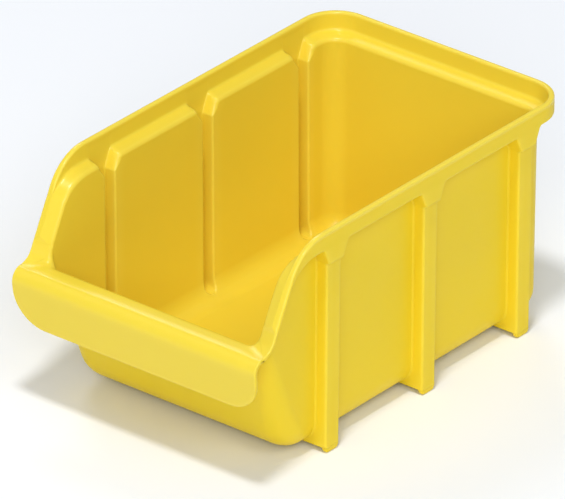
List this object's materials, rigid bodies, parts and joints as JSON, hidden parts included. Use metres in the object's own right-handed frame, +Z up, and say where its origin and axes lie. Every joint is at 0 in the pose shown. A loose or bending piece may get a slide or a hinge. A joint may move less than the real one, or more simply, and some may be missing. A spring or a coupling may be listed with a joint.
{
  "type": "open-front storage bin",
  "caption": "Stackable open-front storage bin with a slanted front edge, a rolled grip lip, a ledged rim and ribbed sides with feet.",
  "frame": {"origin": "on the ground under the middle of the outer box, between the feet", "axes": "+Z up; +Y towards the closed rear wall, so the open front and its lip face -Y; +X to the right of someone facing the rear wall from the front"},
  "size_m": [0.15, 0.242, 0.122],
  "materials": {
    "yellow_plastic": "soft semi-gloss inside and on the lip, fine matte grain outside"
  },
  "bodies": {
    "root": {"floor_panel": "yellow_plastic", "front_wall": "yellow_plastic", "rear_wall": "yellow_plastic", "left_front_side_wall": "yellow_plastic", "left_middle_side_wall": "yellow_plastic", "left_rear_side_wall": "yellow_plastic", "left_rear_corner_wall": "yellow_plastic", "right_front_side_wall": "yellow_plastic", "right_middle_side_wall": "yellow_plastic", "right_rear_side_wall": "yellow_plastic", "right_rear_corner_wall": "yellow_plastic", "left_front_rib": "yellow_plastic", "left_middle_rib": "yellow_plastic", "left_rear_rib": "yellow_plastic", "right_front_rib": "yellow_plastic", "right_middle_rib": "yellow_plastic", "right_rear_rib": "yellow_plastic", "left_front_foot": "yellow_plastic", "left_middle_foot": "yellow_plastic", "left_rear_foot": "yellow_plastic", "right_front_foot": "yellow_plastic", "right_middle_foot": "yellow_plastic", "right_rear_foot": "yellow_plastic", "left_front_stacking_pocket": "yellow_plastic", "left_middle_stacking_pocket": "yellow_plastic", "left_rear_stacking_pocket": "yellow_plastic", "right_front_stacking_pocket": "yellow_plastic", "right_middle_stacking_pocket": "yellow_plastic", "right_rear_stacking_pocket": "yellow_plastic", "left_front_ledge": "yellow_plastic", "left_middle_ledge": "yellow_plastic", "left_rear_ledge": "yellow_plastic", "left_corner_ledge": "yellow_plastic", "right_front_ledge": "yellow_plastic", "right_middle_ledge": "yellow_plastic", "right_rear_ledge": "yellow_plastic", "right_corner_ledge": "yellow_plastic", "rear_ledge": "yellow_plastic", "left_rim": "yellow_plastic", "right_rim": "yellow_plastic", "left_rear_corner_rim": "yellow_plastic", "right_rear_corner_rim": "yellow_plastic", "rear_rim": "yellow_plastic", "left_front_flange": "yellow_plastic", "right_front_flange": "yellow_plastic", "grip_lip": "yellow_plastic", "label_face": "yellow_plastic"}
  },
  "joints": []
}
